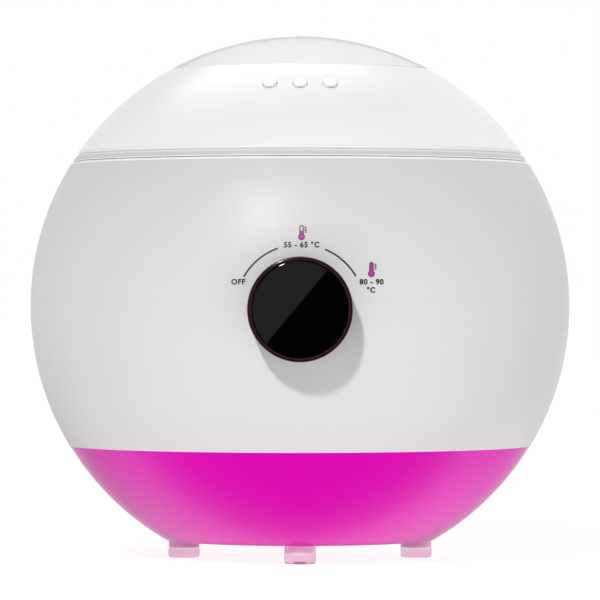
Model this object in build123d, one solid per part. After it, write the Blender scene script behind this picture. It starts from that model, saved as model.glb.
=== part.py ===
from build123d import *
import math
import os

# Sizes of the wax warmer, in millimetres.
# The ball's axis is the Z axis, its front faces -Y, and its feet stand on Z = 0.

# Whole ball
sphere_diameter = 180.0
base_flat_cut = 12.0
seam_share = 0.518
rim_share = 0.531

# Clearances
running_gap = 0.3
fit_gap = 0.1
pin_gap = 0.04
overrun = 12.0

# Base shell
base_wall = 2.6
base_floor = 2.6
base_edge_round = 1.0
lip_wall = 1.8
lip_rise = 4.0
lip_root = 5.0
tie_boss_diameter = 11.0
tie_boss_rise = 4.0

# Feet and the stubs that they hang from
foot_diameter = 10.4
foot_height = 3.4
foot_round = 0.9
foot_edge_margin = 0.9
foot_stub = 2.6
foot_stem_diameter = 4.8
foot_head_diameter = 7.2
foot_head_rise = 1.6

# Housing
housing_wall = 2.6
rim_round = 0.9
ledge_thickness = 3.0
ledge_margin = 5.0
knob_boss_diameter = 22.0
knob_boss_inset = 6.0

# Hinge at the back of the rim
hinge_knuckle_diameter = 8.0
hinge_pin_diameter = 3.0
hinge_lid_width = 18.0
hinge_side_width = 9.0
hinge_standoff = 0.8
hinge_arm_root = 20.0
heel_reach = 2.8
heel_width = 10.0
heel_thickness = 3.0

# Lid
lid_gap = 2.4
lid_wall = 2.6
lid_round = 0.9
neck_gap = 1.4
neck_wall = 2.8
neck_root = 5.0
lid_gasket_thickness = 1.5
band_gap = 0.2
band_inset = 0.25
band_round = 0.2

# Pips on the front of the lid
pip_diameter = 4.8
pip_rise = 1.1
pip_sink = 1.3
pip_round = 0.5
pip_pitch = 9.7
pip_drop = 13.2
pip_count = 3

# Window and what holds it
window_diameter = 86.2
window_wall = 2.2
window_gap = 0.3
window_flange = 3.5
window_flange_thickness = 1.5
window_gasket_thickness = 0.8
window_nub_diameter = 2.4
window_nub_rise = 0.4
window_ring_thickness = 2.5
window_ring_lip = 1.2
window_ring_gap = 0.6
window_boss_diameter = 6.0
window_boss_offset = 7.1
window_boss_margin = 3.4
window_screw_count = 4
window_screw_bite = 6.0

# Trim collar inside the rim
collar_drop = 5.3
collar_thickness = 3.0
collar_gap = 0.4
collar_screw_inset = 7.2
collar_screw_count = 4
collar_screw_bite = 3.4

# Heating well
well_wall = 1.6
well_floor_share = 0.394
well_flange_gap = 6.0
well_flange_width = 8.0
well_flange_thickness = 1.6
well_round = 6.0
well_stud_length = 8.0

# Wax pot and its grips
pot_gap = 0.8
pot_floor_gap = 0.7
pot_wall = 1.2
pot_round = 6.0
pot_flange_width = 5.8
pot_flange_thickness = 1.4
pot_tab_gap = 4.0
pot_tab_width = 16.0
grip_length = 8.5
grip_thickness = 2.6
grip_round = 1.0
rivet_diameter = 2.4

# Heater band
heater_thickness = 3.0
heater_share = 0.54
heater_lift = 8.0
heater_split = 8.0
lug_thickness = 1.5
lug_reach = 8.0
lug_height = 14.0
clamp_bolt_diameter = 3.0
clamp_head_diameter = 5.6
clamp_head_rise = 2.2

# Insulation sleeve
insulation_thickness = 4.0
insulation_margin = 3.0
insulation_slot = 26.0

# Heat shield and tie pillars
shield_diameter = 100.0
shield_thickness = 0.8
shield_share = 0.62
pillar_diameter = 7.0
pillar_foot_diameter = 9.0
pillar_inset = 10.9
pillar_count = 4
pillar_first_angle = 45.0

# Small screws
screw_diameter = 2.4
screw_head_diameter = 4.6
screw_head_rise = 1.5
screw_slot_width = 0.7
screw_slot_depth = 0.7
screw_slot_share = 0.65
tie_screw_diameter = 3.0
tie_screw_head_diameter = 5.6
tie_screw_head_rise = 2.0
tie_screw_bite = 14.0
tie_screw_spare = 3.0

# Thermostat
plate_width = 26.0
plate_height = 28.0
plate_thickness = 1.0
thermostat_width = 24.0
thermostat_height = 26.0
thermostat_depth = 14.0
thermostat_round = 2.0
terminal_offset = 7.0
neck_thread_diameter = 9.6
neck_thread_proud = 2.8
nut_across = 14.0
nut_thickness = 2.0
shaft_diameter = 6.0
shaft_flat_depth = 0.8
shaft_tail = 9.0

# Knob
knob_drop = 1.0
knob_diameter = 33.2
knob_proud = 9.0
knob_depth = 9.3
knob_sleeve_wall = 1.0
knob_cap_thickness = 1.6
knob_round = 0.7
knob_cavity_diameter = 27.0
knob_web = 3.4
knob_hub_diameter = 11.0
knob_hub_length = 1.0
clip_thickness = 0.4
clip_width = 2.8

# Mains inlet at the back
inlet_drop = 22.0
pod_width = 40.0
pod_height = 22.0
pod_round = 5.0
pod_proud = 8.0
pod_depth = 20.0
pod_edge_round = 1.5
inlet_body_width = 24.0
inlet_body_height = 14.0
inlet_depth = 24.0
inlet_flange_width = 36.0
inlet_flange_height = 18.0
inlet_flange_thickness = 2.0
inlet_flange_round = 3.0
socket_width = 16.2
socket_height = 8.6
socket_depth = 14.0
inlet_pin_diameter = 2.4
inlet_pin_pitch = 8.6
inlet_pin_recess = 4.0
inlet_pin_tail = 3.0
inlet_pin_round = 0.6
inlet_screw_pitch = 29.0
inlet_screw_bite = 9.0

# Thermal fuse
fuse_diameter = 4.0
fuse_length = 11.0
fuse_rise = 6.1
fuse_standoff = 0.8
fuse_clip_width = 5.0
fuse_clip_wall = 1.2

# Inside wires
wire_diameter = 1.8
wire_bend = 4.0
wire_lead = 4.5
wire_drop = 11.0
wire_run = 18.0
wire_end_back = 2.3
wire_end_rise = 4.8

# Sizes that follow from those above
sphere_radius = sphere_diameter / 2
underside_height = foot_height + foot_stub
centre_height = underside_height + sphere_radius - base_flat_cut
base_flat_radius = math.sqrt(sphere_radius**2 - (sphere_radius - base_flat_cut) ** 2)
base_seam_height = centre_height - seam_share * sphere_radius
rim_height = centre_height + rim_share * sphere_radius
foot_circle = 2 * (base_flat_radius - foot_edge_margin) - foot_diameter
pillar_circle = 2 * (base_flat_radius - pillar_inset)
floor_height = underside_height + base_floor
boss_height = floor_height + tie_boss_rise
housing_inner = sphere_radius - housing_wall
lid_inner = sphere_radius - lid_wall
rim_bore = math.sqrt(housing_inner**2 - (rim_height - centre_height) ** 2)
collar_top = rim_height - collar_drop
collar_bottom = collar_top - collar_thickness
collar_screw_circle = 2 * (rim_bore - collar_screw_inset)
ledge_bore = collar_screw_circle - 2 * ledge_margin
lid_edge_height = rim_height + lid_gap
neck_bottom = collar_top + lid_gasket_thickness
neck_outer = rim_bore - neck_gap
well_flange_diameter = collar_screw_circle - 2 * well_flange_gap
well_radius = well_flange_diameter / 2 - well_flange_width
well_outer = well_radius + well_wall
well_floor = centre_height - well_floor_share * sphere_radius
well_bottom = well_floor - well_wall
pot_outer = well_radius - pot_gap
pot_bottom = well_floor + pot_floor_gap
pot_tab_reach = neck_outer - neck_wall - pot_tab_gap
shield_height = boss_height + shield_share * (well_bottom - boss_height)
heater_height = heater_share * (collar_top - well_floor)
heater_inner = well_outer + fit_gap
heater_outer = heater_inner + heater_thickness
heater_bottom = well_bottom + heater_lift
heater_middle = heater_bottom + heater_height / 2
heater_top = heater_bottom + heater_height
insulation_inner = heater_outer + fit_gap
insulation_outer = insulation_inner + insulation_thickness
fuse_height = heater_top + insulation_margin + fuse_rise
hinge_height = (rim_height + lid_edge_height) / 2
knuckle_radius = hinge_knuckle_diameter / 2
hinge_distance = sphere_radius + hinge_standoff + knuckle_radius
hinge_back = math.sqrt(hinge_distance**2 - (hinge_height - centre_height) ** 2)
hinge_outer = hinge_lid_width / 2 + running_gap + hinge_side_width
knob_height = centre_height - knob_drop
knob_face = -(sphere_radius + knob_proud)
knob_back = knob_face + knob_depth
boss_face = -(sphere_radius - knob_boss_inset)
window_radius = window_diameter / 2
window_boss_circle = window_diameter + 2 * window_boss_offset
window_ring_reach = window_boss_circle / 2 + window_boss_margin
window_ring_step = centre_height + math.sqrt(lid_inner**2 - window_ring_reach**2)
window_flange_bottom = window_ring_step + window_ring_lip
window_flange_top = window_flange_bottom + window_flange_thickness
window_seat = window_flange_top + window_gasket_thickness
pip_tilt = math.asin(window_radius / sphere_radius) + pip_drop / sphere_radius
window_ring_bottom = window_ring_step - window_ring_thickness
inlet_height = centre_height - inlet_drop
pod_face = sphere_radius + pod_proud
inlet_back = pod_face - inlet_depth

LOW = (Align.CENTER, Align.CENTER, Align.MIN)


def radius_at(height, ball_radius):
    """Radius of a ball's cross-section at a height above the floor."""
    return math.sqrt(ball_radius**2 - (height - centre_height) ** 2)


def ball(radius):
    """Ball about the warmer's centre."""
    return Pos(0, 0, centre_height) * Sphere(radius)


def rod_z(radius, low, high, x=0, y=0):
    """Upright cylinder between two heights."""
    return Pos(x, y, low) * Cylinder(radius, high - low, align=LOW)


def rod_y(radius, front, back, x=0, z=knob_height):
    """Cylinder along Y, between a front and a back plane, at the knob's height unless told."""
    return Pos(x, back, z) * Rot(90, 0, 0) * Cylinder(radius, back - front, align=LOW)


def rod_x(radius, left, right, y, z):
    """Cylinder along X, between a left and a right plane."""
    return Pos(left, y, z) * Rot(0, 90, 0) * Cylinder(radius, right - left, align=LOW)


def ring(outer, inner, low, high):
    """Upright ring between two heights."""
    return rod_z(outer, low, high) - rod_z(inner, low - overrun, high + overrun)


def block(left, right, front, back, low, high):
    """Box between six planes."""
    corner = (Align.MIN, Align.MIN, Align.MIN)
    return Pos(left, front, low) * Box(right - left, back - front, high - low, align=corner)


def rounded_slab_y(width, height, corner, front, back, z):
    """Round-cornered slab whose outline faces Y."""
    face = Plane((0, back, z), x_dir=(1, 0, 0), z_dir=(0, -1, 0))
    return extrude(face * RectangleRounded(width, height, corner), back - front)


def places_on_circle(diameter, count, first_angle):
    """Points spread evenly on a circle about the axis."""
    angles = [math.radians(first_angle + 360 * step / count) for step in range(count)]
    return [(diameter / 2 * math.cos(angle), diameter / 2 * math.sin(angle)) for angle in angles]


def circles_at(shape, height):
    """Round edges of a shape that lie level at a height."""
    edges = shape.edges().filter_by(GeomType.CIRCLE)
    return edges.filter_by_position(Axis.Z, height - pin_gap, height + pin_gap)


def widest(edges):
    """The edge of the largest radius."""
    return edges.sort_by(SortBy.RADIUS)[-1:]


def screw(diameter, head_diameter, head_rise, length):
    """Cross-slotted screw whose shank runs up +Z from under its head, at the origin."""
    body = rod_z(head_diameter / 2, -head_rise, 0) + rod_z(diameter / 2, 0, length)
    reach = head_diameter * screw_slot_share / 2
    half = screw_slot_width / 2
    bottom = -head_rise
    body -= block(-reach, reach, -half, half, bottom - overrun, bottom + screw_slot_depth)
    body -= block(-half, half, -reach, reach, bottom - overrun, bottom + screw_slot_depth)
    return body


def small_screw(length):
    """The small screw used for trim."""
    return screw(screw_diameter, screw_head_diameter, screw_head_rise, length)


def tie_places():
    """Centres of the tie pillars."""
    return places_on_circle(pillar_circle, pillar_count, pillar_first_angle)


# Base, feet and ties


def make_base_lip():
    """Lip that centres the housing on the base, with a root inside the wall."""
    outer = radius_at(base_seam_height, housing_inner) - fit_gap
    root = ring(outer + base_wall / 2, outer - lip_wall, base_seam_height - lip_root, base_seam_height)
    root &= ball(sphere_radius - base_wall / 2)
    return root + ring(outer, outer - lip_wall, base_seam_height, base_seam_height + lip_rise)


def make_base_shell():
    """See-through bowl with a flat underside, foot stubs, a lip and screw bosses."""
    bowl = ball(sphere_radius) & rod_z(sphere_radius, underside_height, base_seam_height)
    bowl = fillet(widest(circles_at(bowl, underside_height)), base_edge_round)
    hollow = ball(sphere_radius - base_wall) & rod_z(sphere_radius, floor_height, base_seam_height + overrun)
    shell = bowl - hollow + make_base_lip()
    for x, y in tie_places():
        shell += rod_z(tie_boss_diameter / 2, underside_height, boss_height, x, y)
    for x, y in places_on_circle(foot_circle, 4, 0):
        shell += rod_z(foot_diameter / 2, foot_height, floor_height, x, y)
        shell -= rod_z(foot_stem_diameter / 2 + fit_gap, 0, floor_height + overrun, x, y)
    head_top = underside_height + tie_screw_head_rise + fit_gap
    for x, y in tie_places():
        shell -= rod_z(tie_screw_head_diameter / 2 + running_gap, 0, head_top, x, y)
        shell -= rod_z(tie_screw_diameter / 2 + fit_gap, 0, boss_height + overrun, x, y)
    return shell


def make_foot(x, y):
    """Soft foot with a stem that snaps through the floor of the base."""
    pad = rod_z(foot_diameter / 2, 0, foot_height)
    pad = fillet(circles_at(pad, 0), foot_round)
    stem = rod_z(foot_stem_diameter / 2, 0, floor_height)
    head = rod_z(foot_head_diameter / 2, floor_height, floor_height + foot_head_rise)
    return Pos(x, y, 0) * (pad + stem + head)


def make_base_screws():
    """Long screws that pull the base up onto the tie pillars."""
    seat = underside_height + tie_screw_head_rise + fit_gap
    body = screw(tie_screw_diameter, tie_screw_head_diameter, tie_screw_head_rise, tie_screw_bite)
    return [Pos(x, y, seat) * body for x, y in tie_places()]


def make_tie_pillars():
    """Stepped pillars between the base and the well, with a hole at each end."""
    pillar = rod_z(pillar_foot_diameter / 2, boss_height, shield_height)
    pillar += rod_z(pillar_diameter / 2, shield_height, well_bottom)
    bite_top = underside_height + tie_screw_head_rise + tie_screw_bite + tie_screw_spare
    pillar -= rod_z(tie_screw_diameter / 2 + pin_gap, 0, bite_top)
    stud_end = well_bottom - well_stud_length - fit_gap
    pillar -= rod_z(tie_screw_diameter / 2 + pin_gap, stud_end, well_bottom + overrun)
    return [Pos(x, y, 0) * pillar for x, y in tie_places()]


def make_heat_shield():
    """Thin disc that rests on the shoulders of the pillars."""
    disc = rod_z(shield_diameter / 2, shield_height, shield_height + shield_thickness)
    for x, y in tie_places():
        disc -= rod_z(pillar_diameter / 2 + fit_gap, 0, well_bottom, x, y)
    return disc


# Housing


def hinge_knuckle(left, right):
    """Barrel of the hinge between two planes, still without its hole."""
    return rod_x(knuckle_radius, left, right, hinge_back, hinge_height)


def hinge_hole(gap):
    """Cut for the hinge pin."""
    reach = hinge_outer + overrun
    return rod_x(hinge_pin_diameter / 2 + gap, -reach, reach, hinge_back, hinge_height)


def hinge_arm(left, right, low, high):
    """Web from the back of the ball to the hinge's axis."""
    return block(left, right, hinge_back - hinge_arm_root, hinge_back, low, high)


def make_housing_hinge():
    """The two outer knuckles with their webs, clear of the inside of the wall."""
    near = hinge_lid_width / 2 + running_gap
    parts = []
    for left, right in ((-hinge_outer, -near), (near, hinge_outer)):
        arm = hinge_arm(left, right, hinge_height - knuckle_radius, rim_height)
        parts.append(arm - ball(sphere_radius - housing_wall / 2))
        parts.append(hinge_knuckle(left, right))
    return parts


def make_pod():
    """Flat-faced boss at the back for the mains inlet."""
    pod = rounded_slab_y(pod_width, pod_height, pod_round, pod_face - pod_depth, pod_face, inlet_height)
    face_edges = pod.faces().sort_by(Axis.Y)[-1].edges()
    return fillet(face_edges, pod_edge_round)


def cut_inlet(shell):
    """Openings in the pod for the inlet's body, flange and screws."""
    body_width = inlet_body_width + 2 * fit_gap
    body_height = inlet_body_height + 2 * fit_gap
    half_width = body_width / 2
    low = inlet_height - body_height / 2
    shell -= block(-half_width, half_width, inlet_back - overrun, pod_face + overrun, low, low + body_height)
    flange_floor = pod_face - inlet_flange_thickness
    flange_width = inlet_flange_width + 2 * fit_gap
    flange_height = inlet_flange_height + 2 * fit_gap
    corner = inlet_flange_round + fit_gap
    past_face = pod_face + overrun
    shell -= rounded_slab_y(flange_width, flange_height, corner, flange_floor, past_face, inlet_height)
    for side in (-1, 1):
        x = side * inlet_screw_pitch / 2
        bite_end = pod_face - screw_head_rise - inlet_screw_bite - fit_gap
        shell -= rod_y(screw_diameter / 2 + pin_gap, bite_end, pod_face, x, inlet_height)
    return shell


def make_housing():
    """White shell from the base seam to the rim, with its ledge, bosses and hinge knuckles."""
    zone = rod_z(sphere_radius, base_seam_height, rim_height)
    skin = ball(sphere_radius) & zone
    skin = fillet(widest(circles_at(skin, rim_height)), rim_round)
    shell = skin - (ball(housing_inner) & rod_z(sphere_radius, 0, rim_height + overrun))
    filling = ball(sphere_radius - housing_wall / 2)
    ledge_bottom = collar_bottom - ledge_thickness
    ledge = ring(sphere_radius, ledge_bore / 2, ledge_bottom, collar_bottom) & filling
    rim_ring = ring(sphere_radius, rim_bore, ledge_bottom, rim_height - rim_round) & filling
    shell += ledge
    shell += rim_ring
    shell += rod_y(knob_boss_diameter / 2, -sphere_radius, boss_face) & filling
    shell += make_pod()
    shell += make_housing_hinge()
    shell = cut_inlet(shell)
    shell -= hinge_hole(pin_gap / 2)
    shell -= rod_y(neck_thread_diameter / 2 + fit_gap, -sphere_radius - overrun, boss_face + overrun)
    for x, y in places_on_circle(collar_screw_circle, collar_screw_count, pillar_first_angle):
        bite_end = collar_top - screw_head_rise - collar_screw_bite - fit_gap
        shell -= rod_z(screw_diameter / 2 + pin_gap, bite_end, rim_height, x, y)
    return shell


def make_hinge_pin():
    """Pin through all three knuckles."""
    return rod_x(hinge_pin_diameter / 2, -hinge_outer, hinge_outer, hinge_back, hinge_height)


# Collar, well and pot


def make_collar():
    """Flat ring that rests on the housing's ledge and carries the well's flange."""
    collar = ring(rim_bore - collar_gap, well_outer + fit_gap, collar_bottom, collar_top)
    collar -= rod_z(well_flange_diameter / 2 + fit_gap, collar_top - well_flange_thickness, rim_height)
    for x, y in places_on_circle(collar_screw_circle, collar_screw_count, pillar_first_angle):
        collar -= rod_z(screw_head_diameter / 2 + fit_gap, collar_top - screw_head_rise, rim_height, x, y)
        collar -= rod_z(screw_diameter / 2 + fit_gap, 0, rim_height, x, y)
    return collar


def make_collar_screws():
    """Flush screws through the collar into the ledge."""
    body = Rot(180, 0, 0) * small_screw(collar_screw_bite)
    places = places_on_circle(collar_screw_circle, collar_screw_count, pillar_first_angle)
    return [Pos(x, y, collar_top - screw_head_rise) * body for x, y in places]


def cup(outer, bottom, top, wall, corner):
    """Round cup with a rounded bottom edge inside and out."""
    solid = fillet(circles_at(rod_z(outer, bottom, top), bottom), corner)
    inner_corner = max(corner - wall, wall / 2)
    core = rod_z(outer - wall, bottom + wall, top + overrun)
    core = fillet(circles_at(core, bottom + wall), inner_corner)
    return solid - core


def make_well():
    """Fixed aluminium cup with a flange and studs for the tie pillars."""
    well = cup(well_outer, well_bottom, collar_top, well_wall, well_round)
    well += ring(well_flange_diameter / 2, well_radius, collar_top - well_flange_thickness, collar_top)
    stud_end = well_bottom - well_stud_length
    for x, y in tie_places():
        well += rod_z(tie_screw_diameter / 2, stud_end, well_bottom + well_wall / 2, x, y)
    return well


def make_pot():
    """Loose pot with a flange and two lifting tabs, drilled for the grips' rivets."""
    flange_top = collar_top + pot_flange_thickness
    pot = cup(pot_outer, pot_bottom, flange_top, pot_wall, pot_round)
    pot += ring(pot_outer + pot_flange_width, pot_outer - pot_wall, collar_top, flange_top)
    half = pot_tab_width / 2
    tabs = block(-pot_tab_reach, pot_tab_reach, -half, half, collar_top, flange_top)
    pot += tabs - rod_z(pot_outer, 0, rim_height)
    for side in (-1, 1):
        pot -= rod_z(rivet_diameter / 2 + pin_gap, 0, rim_height, side * grip_middle(), 0)
    return pot


def grip_middle():
    """Distance of a grip's middle from the axis."""
    return pot_tab_reach - grip_length / 2


def make_grips():
    """Heat-proof pads on the lifting tabs, each held by its own moulded rivet."""
    low = collar_top + pot_flange_thickness
    half = pot_tab_width / 2
    pad = block(-grip_length / 2, grip_length / 2, -half, half, low, low + grip_thickness)
    pad = fillet(pad.faces().sort_by(Axis.Z)[-1].edges(), grip_round)
    pad += rod_z(rivet_diameter / 2, collar_top + fit_gap, low + grip_thickness / 2)
    return [Pos(side * grip_middle(), 0, 0) * pad for side in (-1, 1)]


# Heat parts round the well


def make_heater():
    """Split band heater with two clamping lugs at the back."""
    band = ring(heater_outer, heater_inner, heater_bottom, heater_top)
    half = heater_split / 2
    band -= block(-half, half, 0, heater_outer + overrun, 0, rim_height)
    low = heater_middle - lug_height / 2
    lug_end = heater_outer + lug_reach
    for left in (-half - lug_thickness, half):
        lug = block(left, left + lug_thickness, heater_inner, lug_end, low, low + lug_height)
        band += lug - rod_z(heater_inner, 0, rim_height)
    reach = half + lug_thickness + overrun
    band -= rod_x(clamp_bolt_diameter / 2 + pin_gap, -reach, reach, clamp_back(), heater_middle)
    return band


def clamp_back():
    """Place of the clamp bolt behind the axis."""
    return heater_outer + lug_reach / 2


def make_clamp():
    """Bolt and nut that close the heater band."""
    face = heater_split / 2 + lug_thickness
    y = clamp_back()
    bolt = rod_x(clamp_bolt_diameter / 2, -face - clamp_head_rise, face, y, heater_middle)
    bolt += rod_x(clamp_head_diameter / 2, face, face + clamp_head_rise, y, heater_middle)
    nut = rod_x(clamp_head_diameter / 2, -face - clamp_head_rise, -face, y, heater_middle)
    nut -= rod_x(clamp_bolt_diameter / 2 + pin_gap, -face - overrun, face, y, heater_middle)
    return [bolt, nut]


def make_insulation():
    """Insulating sleeve round the heater, open at the back for the lugs."""
    low = heater_bottom - insulation_margin
    sleeve = ring(insulation_outer, insulation_inner, low, heater_top + insulation_margin)
    half = insulation_slot / 2
    return sleeve - block(-half, half, 0, insulation_outer + overrun, 0, rim_height)


def fuse_middle():
    """Distance of the fuse's axis from the warmer's axis."""
    return well_outer + fuse_standoff + fuse_diameter / 2


def make_fuse():
    """Thermal fuse lying along the wall of the well."""
    return rod_y(fuse_diameter / 2, -fuse_length / 2, fuse_length / 2, fuse_middle(), fuse_height)


def make_fuse_clip():
    """Saddle that holds the fuse against the well."""
    outer = fuse_diameter / 2 + fuse_clip_wall
    half = fuse_clip_width / 2
    clip = rod_y(outer, -half, half, fuse_middle(), fuse_height)
    clip += block(well_radius, fuse_middle(), -half, half, fuse_height - outer, fuse_height + outer)
    clip -= rod_z(well_outer + pin_gap, 0, rim_height)
    return clip - rod_y(fuse_diameter / 2 + pin_gap, -fuse_length, fuse_length, fuse_middle(), fuse_height)


# Thermostat and knob


def make_thermostat_plate():
    """Front plate of the thermostat with its threaded neck."""
    half = plate_width / 2
    low = knob_height - plate_height / 2
    plate = block(-half, half, boss_face, boss_face + plate_thickness, low, low + plate_height)
    neck_front = -(sphere_radius + neck_thread_proud)
    plate += rod_y(neck_thread_diameter / 2, neck_front, boss_face + plate_thickness)
    return plate - rod_y(shaft_diameter / 2 + pin_gap, neck_front - overrun, boss_face + overrun)


def make_thermostat_body():
    """Switch block behind the plate, bored for the shaft's tail."""
    front = boss_face + plate_thickness
    middle = front + thermostat_depth / 2
    body = Pos(0, middle, knob_height) * Box(thermostat_width, thermostat_depth, thermostat_height)
    body = fillet(body.edges().filter_by(Axis.Y), thermostat_round)
    return body - rod_y(shaft_diameter / 2 + pin_gap, front - overrun, front + shaft_tail + running_gap)


def make_thermostat_nut():
    """Hexagon nut that clamps the neck to the housing's nose."""
    back = -sphere_radius
    outline = Plane((0, back, knob_height), x_dir=(1, 0, 0), z_dir=(0, -1, 0))
    hexagon = outline * RegularPolygon(nut_across / 2, 6, major_radius=False)
    nut = extrude(hexagon, nut_thickness)
    return nut - rod_y(neck_thread_diameter / 2 + pin_gap, back - overrun, back + overrun)


def shaft_front():
    """Front end of the shaft, just behind the cap."""
    return knob_face + knob_cap_thickness + fit_gap


def shaft_flat():
    """Height of the flat on the shaft."""
    return knob_height + shaft_diameter / 2 - shaft_flat_depth


def hub_back():
    """Back end of the knob's hub, in front of the neck."""
    return knob_face + knob_cap_thickness + knob_web + knob_hub_length


def make_shaft():
    """Control shaft with a flat for the knob."""
    back = boss_face + plate_thickness + shaft_tail
    shaft = rod_y(shaft_diameter / 2, shaft_front(), back)
    half = shaft_diameter / 2
    return shaft - block(-half, half, shaft_front() - overrun, hub_back(), shaft_flat(), shaft_flat() + half)


def make_knob_core():
    """Hollow black core with a hub for the shaft."""
    front = knob_face + knob_cap_thickness
    core = rod_y(knob_diameter / 2 - knob_sleeve_wall - fit_gap, front, knob_back)
    core -= rod_y(knob_cavity_diameter / 2, front + knob_web, knob_back + overrun)
    core += rod_y(knob_hub_diameter / 2, front, hub_back())
    bore = rod_y(shaft_diameter / 2 + pin_gap, front - overrun, knob_back + overrun)
    half = shaft_diameter / 2
    key_low = shaft_flat() + clip_thickness + 2 * pin_gap
    bore -= block(-half, half, front - overrun, hub_back(), key_low, key_low + half)
    return core - bore


def make_knob_clip():
    """Leaf spring between the shaft's flat and the knob's bore."""
    half = clip_width / 2
    low = shaft_flat() + pin_gap
    return block(-half, half, shaft_front(), hub_back(), low, low + clip_thickness)


def make_knob_sleeve():
    """See-through sleeve round the knob."""
    outer = knob_diameter / 2
    front = knob_face + knob_round / 2
    tube = rod_y(outer, front, knob_back)
    tube = fillet(tube.faces().sort_by(Axis.Y)[0].edges(), knob_round)
    return tube - rod_y(outer - knob_sleeve_wall, front - overrun, knob_back + overrun)


def make_knob_cap():
    """Gloss face of the knob, with a rounded edge."""
    radius = knob_diameter / 2 - knob_sleeve_wall - fit_gap
    cap = rod_y(radius, knob_face, knob_face + knob_cap_thickness)
    return fillet(cap.faces().sort_by(Axis.Y)[0].edges(), knob_round)


# Mains inlet


def make_inlet():
    """Two-pole socket with a flange, set into the pod."""
    half = inlet_body_width / 2
    low = inlet_height - inlet_body_height / 2
    body = block(-half, half, inlet_back, pod_face, low, low + inlet_body_height)
    flange_front = pod_face - inlet_flange_thickness
    flange_outline = (inlet_flange_width, inlet_flange_height, inlet_flange_round)
    body += rounded_slab_y(*flange_outline, flange_front, pod_face, inlet_height)
    past_face = pod_face + overrun
    socket_outline = (socket_width, socket_height, socket_height / 2 - fit_gap)
    body -= rounded_slab_y(*socket_outline, pod_face - socket_depth, past_face, inlet_height)
    pin_hole = inlet_pin_diameter / 2 + pin_gap / 2
    head_hole = screw_head_diameter / 2 + fit_gap
    for side in (-1, 1):
        pin_x = side * inlet_pin_pitch / 2
        screw_x = side * inlet_screw_pitch / 2
        body -= rod_y(pin_hole, inlet_back - overrun, pod_face, pin_x, inlet_height)
        body -= rod_y(screw_diameter / 2 + fit_gap, inlet_back, past_face, screw_x, inlet_height)
        body -= rod_y(head_hole, pod_face - screw_head_rise, past_face, screw_x, inlet_height)
    return body


def make_inlet_pins():
    """Two contact pins through the back wall of the inlet."""
    back = inlet_back - inlet_pin_tail
    tip = pod_face - inlet_pin_recess
    pins = []
    for side in (-1, 1):
        pin = rod_y(inlet_pin_diameter / 2, back, tip, side * inlet_pin_pitch / 2, inlet_height)
        pins.append(fillet(pin.faces().sort_by(Axis.Y)[-1].edges(), inlet_pin_round))
    return pins


def make_inlet_screws():
    """Flush screws through the inlet's flange into the pod."""
    body = Rot(90, 0, 0) * small_screw(inlet_screw_bite)
    seat = pod_face - screw_head_rise
    return [Pos(side * inlet_screw_pitch / 2, seat, inlet_height) * body for side in (-1, 1)]


# Lid


def pip_direction(index):
    """Unit vector from the ball's centre to a pip, all pips being level."""
    across = (index - (pip_count - 1) / 2) * pip_pitch / sphere_radius
    up = math.cos(pip_tilt)
    return Vector(across, -math.sqrt(1 - up**2 - across**2), up)


def pip_plane(index, distance):
    """Plane square to a pip's axis, at a distance from the ball's centre."""
    direction = pip_direction(index)
    origin = Vector(0, 0, centre_height) + direction * distance
    return Plane(origin, x_dir=(1, 0, 0), z_dir=direction)


def make_pips():
    """Short round pegs set into the lid."""
    length = pip_sink + pip_rise
    peg = Cylinder(pip_diameter / 2, length, align=LOW)
    peg = fillet(peg.faces().sort_by(Axis.Z)[-1].edges(), pip_round)
    return [pip_plane(index, sphere_radius - pip_sink) * peg for index in range(pip_count)]


def make_lid_hinge():
    """Middle knuckle with its web and the heel that stops the open lid."""
    half = hinge_lid_width / 2
    arm = hinge_arm(-half, half, lid_edge_height, hinge_height + knuckle_radius)
    arm -= ball(sphere_radius - lid_wall / 2)
    heel_end = hinge_back + knuckle_radius + heel_reach
    heel_half = heel_width / 2
    heel = block(-heel_half, heel_half, hinge_back, heel_end, hinge_height, hinge_height + heel_thickness)
    return [arm, hinge_knuckle(-half, half), heel]


def window_boss_places():
    """Centres of the screw bosses round the window."""
    return places_on_circle(window_boss_circle, window_screw_count, pillar_first_angle)


def make_lid_shell():
    """White lid with its window seat, screw bosses and hinge knuckle."""
    crown = centre_height + sphere_radius
    skin = ball(sphere_radius) & rod_z(sphere_radius, lid_edge_height, crown)
    skin = fillet(widest(circles_at(skin, lid_edge_height)), lid_round)
    filling = ball(sphere_radius - lid_wall / 2)
    shell = skin - (ball(lid_inner) & rod_z(sphere_radius, 0, crown + overrun))
    shell += rod_z(window_radius + window_boss_diameter, window_seat, crown) & filling
    for x, y in window_boss_places():
        shell += rod_z(window_boss_diameter / 2, window_ring_step, window_seat, x, y) & filling
    shell += make_lid_hinge()
    shell -= rod_z(window_radius + window_gap, neck_bottom, crown + overrun)
    shell -= hinge_hole(pin_gap)
    for x, y in window_boss_places():
        bite_end = window_ring_bottom + window_screw_bite + fit_gap
        shell -= rod_z(screw_diameter / 2 + pin_gap, window_ring_bottom, bite_end, x, y)
    for index in range(pip_count):
        hole = Cylinder(pip_diameter / 2 + fit_gap, pip_sink + overrun, align=LOW)
        shell -= pip_plane(index, sphere_radius - pip_sink) * hole
    return shell


def make_lid_neck():
    """Ring welded inside the lid that drops into the rim, its top shaped to the lid."""
    neck_top = lid_edge_height + neck_root
    return ring(neck_outer, neck_outer - neck_wall, neck_bottom, neck_top) & ball(lid_inner)


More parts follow.
